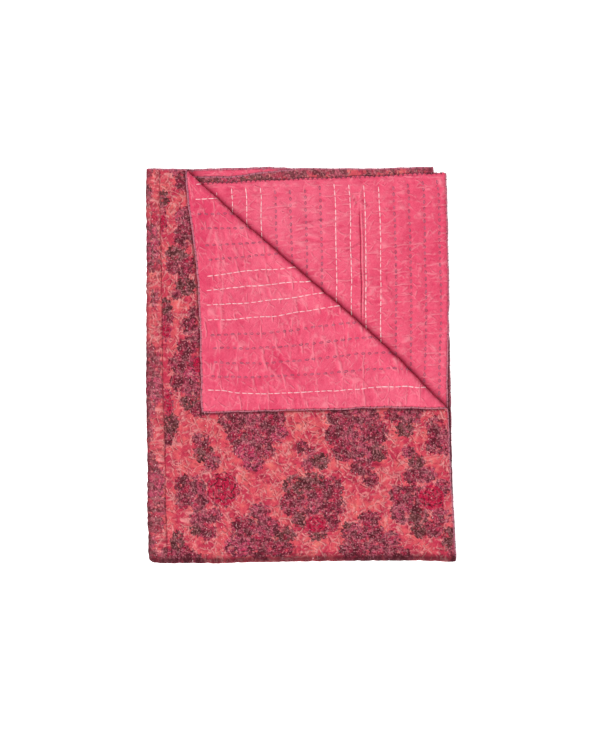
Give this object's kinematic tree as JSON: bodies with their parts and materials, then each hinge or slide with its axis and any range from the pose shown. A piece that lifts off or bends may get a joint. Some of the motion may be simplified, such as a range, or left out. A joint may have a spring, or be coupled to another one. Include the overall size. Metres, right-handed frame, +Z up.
{
  "type": "folded kantha quilt",
  "caption": "Thin hand-stitched cotton quilt folded to a flat packet, printed front and plain back, with a corner of the top layer turned back.",
  "frame": {"origin": "centre of the packet's plan, on the surface that it rests on", "axes": "+X from the side fold to the open side edges, +Y from the bottom fold to the open top edges, +Z up"},
  "size_m": [0.4666, 0.5968, 0.0207],
  "materials": {
    "print_panel_main": "matt washed cotton, coral ground with plum flower clusters",
    "print_panel_side": "matt washed cotton, the paler side panel of the print",
    "backing_cloth": "matt washed cotton, plain pink"
  },
  "bodies": {
    "root": {"print_panel_main": "print_panel_main", "print_panel_side": "print_panel_side", "backing_cloth": "backing_cloth"}
  },
  "joints": []
}
